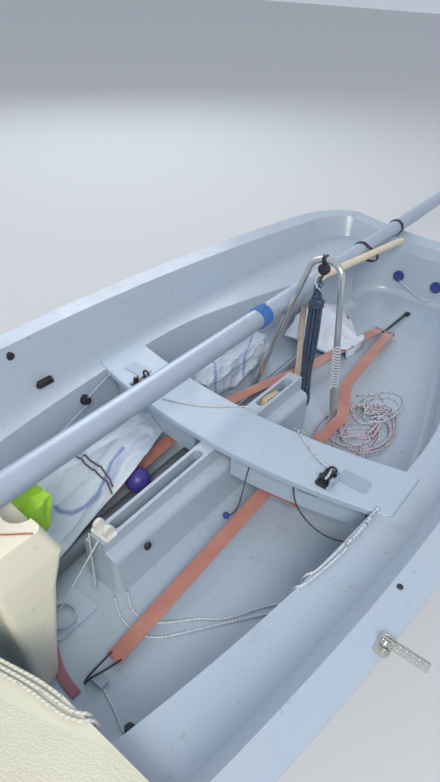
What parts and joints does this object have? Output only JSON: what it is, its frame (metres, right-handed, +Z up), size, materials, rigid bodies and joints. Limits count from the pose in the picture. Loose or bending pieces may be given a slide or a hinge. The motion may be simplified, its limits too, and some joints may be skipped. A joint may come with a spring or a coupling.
{
  "type": "sailing dinghy",
  "caption": "Open sailing dinghy stored ashore with its mast lowered, sails and ropes stowed, a lifting centreboard and a hinged rudder.",
  "frame": {"origin": "on the flat bottom, at the foot of the transom's inner face, on the centreline", "axes": "+X forward to the bow, +Y to port, +Z up"},
  "size_m": [6.6862, 1.826, 0.9179],
  "materials": {
    "gelcoat_white": "glossy gelcoat, lightly soiled",
    "gelcoat_cream": "gelcoat with a diamond non-slip",
    "stainless": "polished, weathered",
    "spar_white": "pale anodised",
    "spar_grey": "anodised",
    "pole_cream": "satin",
    "black_plastic": "moulded",
    "purple_plastic": "moulded",
    "white_plastic": "moulded",
    "bung_blue": "moulded",
    "navy_rope": "braided",
    "blue_cord": "braided",
    "black_cord": "braided",
    "speckled_rope": "braided, speckled",
    "webbing_red": "woven webbing, faded",
    "sail_cloth": "crisp woven cloth",
    "bag_white": "woven cloth with a blue edge",
    "lime_fabric": "woven cloth",
    "board_wood": "varnished, faded",
    "tiller_wood": "varnished, faded"
  },
  "bodies": {
    "boat": {"hull": "gelcoat_white", "cockpit_moulding": "gelcoat_white", "gunwale_flange": "gelcoat_white", "foredeck": "gelcoat_cream", "centre_case": "gelcoat_white", "centreboard_pin": "stainless", "thwart": "gelcoat_white", "mast_gate": "gelcoat_white", "mast_step": "stainless", "mainsheet_hoop": "stainless", "hoop_feet": "stainless", "mainsheet_block": "black_plastic", "mainsheet_hank": "navy_rope", "mast_tube": "spar_white", "mast_heel": "black_plastic", "mast_head": "stainless", "blue_lashing": "blue_cord", "black_lashings": "black_cord", "boom_tube": "spar_grey", "boom_ends": "black_plastic", "purple_ball": "purple_plastic", "pole": "pole_cream", "gudgeons": "stainless", "bow_fitting": "stainless", "shroud_adjusters": "stainless", "jib_cleats": "black_plastic", "side_fairlead": "black_plastic", "seat_cleat": "black_plastic", "seat_block": "black_plastic", "drain_bungs": "bung_blue", "case_head_blocks": "white_plastic", "case_knob": "black_plastic", "toe_straps": "webbing_red", "strap_anchors": "black_plastic", "sail_bundle_forward": "sail_cloth", "sail_bundle_aft": "sail_cloth", "sail_bag": "bag_white", "lime_cloth": "lime_fabric", "rope_pile": "speckled_rope", "tiller": "tiller_wood"},
    "board": {"centreboard": "board_wood"},
    "rudder": {"pintles": "stainless", "rudder_stock": "white_plastic", "blade_bolt": "stainless"},
    "blade": {"rudder_blade": "board_wood"}
  },
  "joints": [
    {"name": "centreboard_swing", "type": "hinge", "parent": "boat", "child": "board", "pos_m": [2.47, 0, 0.115], "axis": [0, -1, 0], "range_deg": [0, 80]},
    {"name": "rudder_steer", "type": "hinge", "parent": "boat", "child": "rudder", "pos_m": [-0.078, 0, 0.38], "axis": [0, 0, 1], "range_deg": [-38, 38]},
    {"name": "rudder_blade_swing", "type": "hinge", "parent": "rudder", "child": "blade", "pos_m": [-0.165, 0, 0.19], "axis": [0, -1, 0], "range_deg": [0, 80]}
  ]
}
